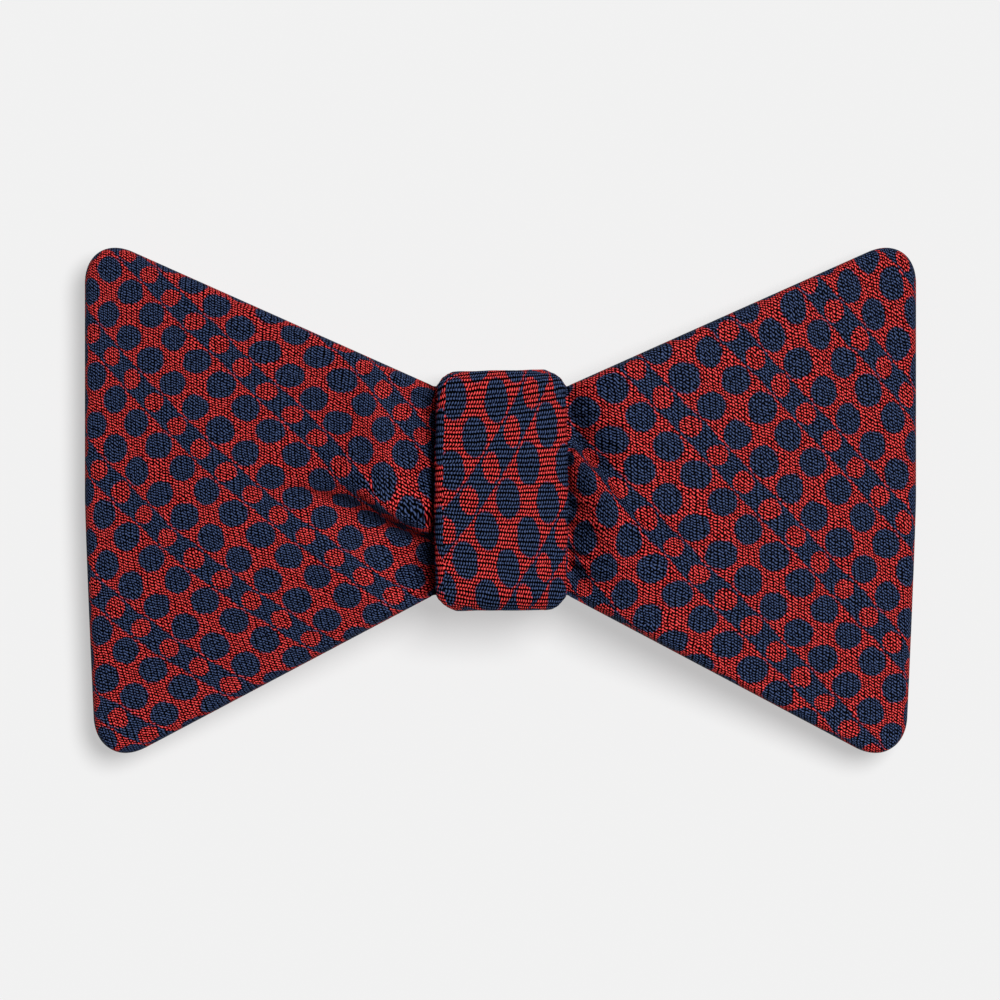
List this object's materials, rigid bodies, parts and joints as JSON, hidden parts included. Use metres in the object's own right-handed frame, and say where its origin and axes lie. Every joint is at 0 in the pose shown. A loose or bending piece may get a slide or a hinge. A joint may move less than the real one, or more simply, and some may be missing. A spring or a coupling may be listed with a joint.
{
  "type": "bow tie",
  "caption": "Ready-tied clip-on bow tie: layered silk bows gathered under a silk wrap, with a sprung toothed collar clip at the back.",
  "frame": {"origin": "middle of the tie's outside box in x and y, at the height of the table that the back clip's levers lie on", "axes": "+X across the bow towards the right wing as seen from the front, +Y up the bow as it is worn, +Z out of its front"},
  "size_m": [0.1046, 0.0634, 0.0154],
  "materials": {
    "silk": "woven silk twill",
    "interlining": "brushed wool and cotton",
    "thread": "twisted sewing thread",
    "label": "woven satin",
    "clip_steel": "nickel-plated pressed sheet",
    "pin_steel": "nickel-plated",
    "spring_steel": "bright drawn wire"
  },
  "bodies": {
    "bow": {"front_bow_face": "silk", "front_bow_interlining": "interlining", "front_bow_back": "silk", "rear_bow_face": "silk", "rear_bow_interlining": "interlining", "rear_bow_back": "silk", "knot_wrap": "silk", "knot_interlining": "interlining", "gather_thread": "thread", "knot_stitches": "thread", "clip_base": "clip_steel", "clip_tack_thread": "thread", "care_label": "label", "label_stitches": "thread", "hinge_pin_left": "pin_steel", "hinge_pin_right": "pin_steel", "spring_left": "spring_steel", "spring_right": "spring_steel"},
    "left_lever": {"clip_jaw_left": "clip_steel"},
    "right_lever": {"clip_jaw_right": "clip_steel"}
  },
  "joints": [
    {"name": "left_lever_hinge", "type": "hinge", "parent": "bow", "child": "left_lever", "pos_m": [-0.0145, 0.00125, 0.0026], "axis": [0, -1, 0], "range_deg": [0, 35], "stiffness_Nm_per_rad": 0.02, "deforming": ["spring_left"]},
    {"name": "right_lever_hinge", "type": "hinge", "parent": "bow", "child": "right_lever", "pos_m": [0.0145, 0.00125, 0.0026], "axis": [0, 1, 0], "range_deg": [0, 35], "stiffness_Nm_per_rad": 0.02, "deforming": ["spring_right"]}
  ]
}
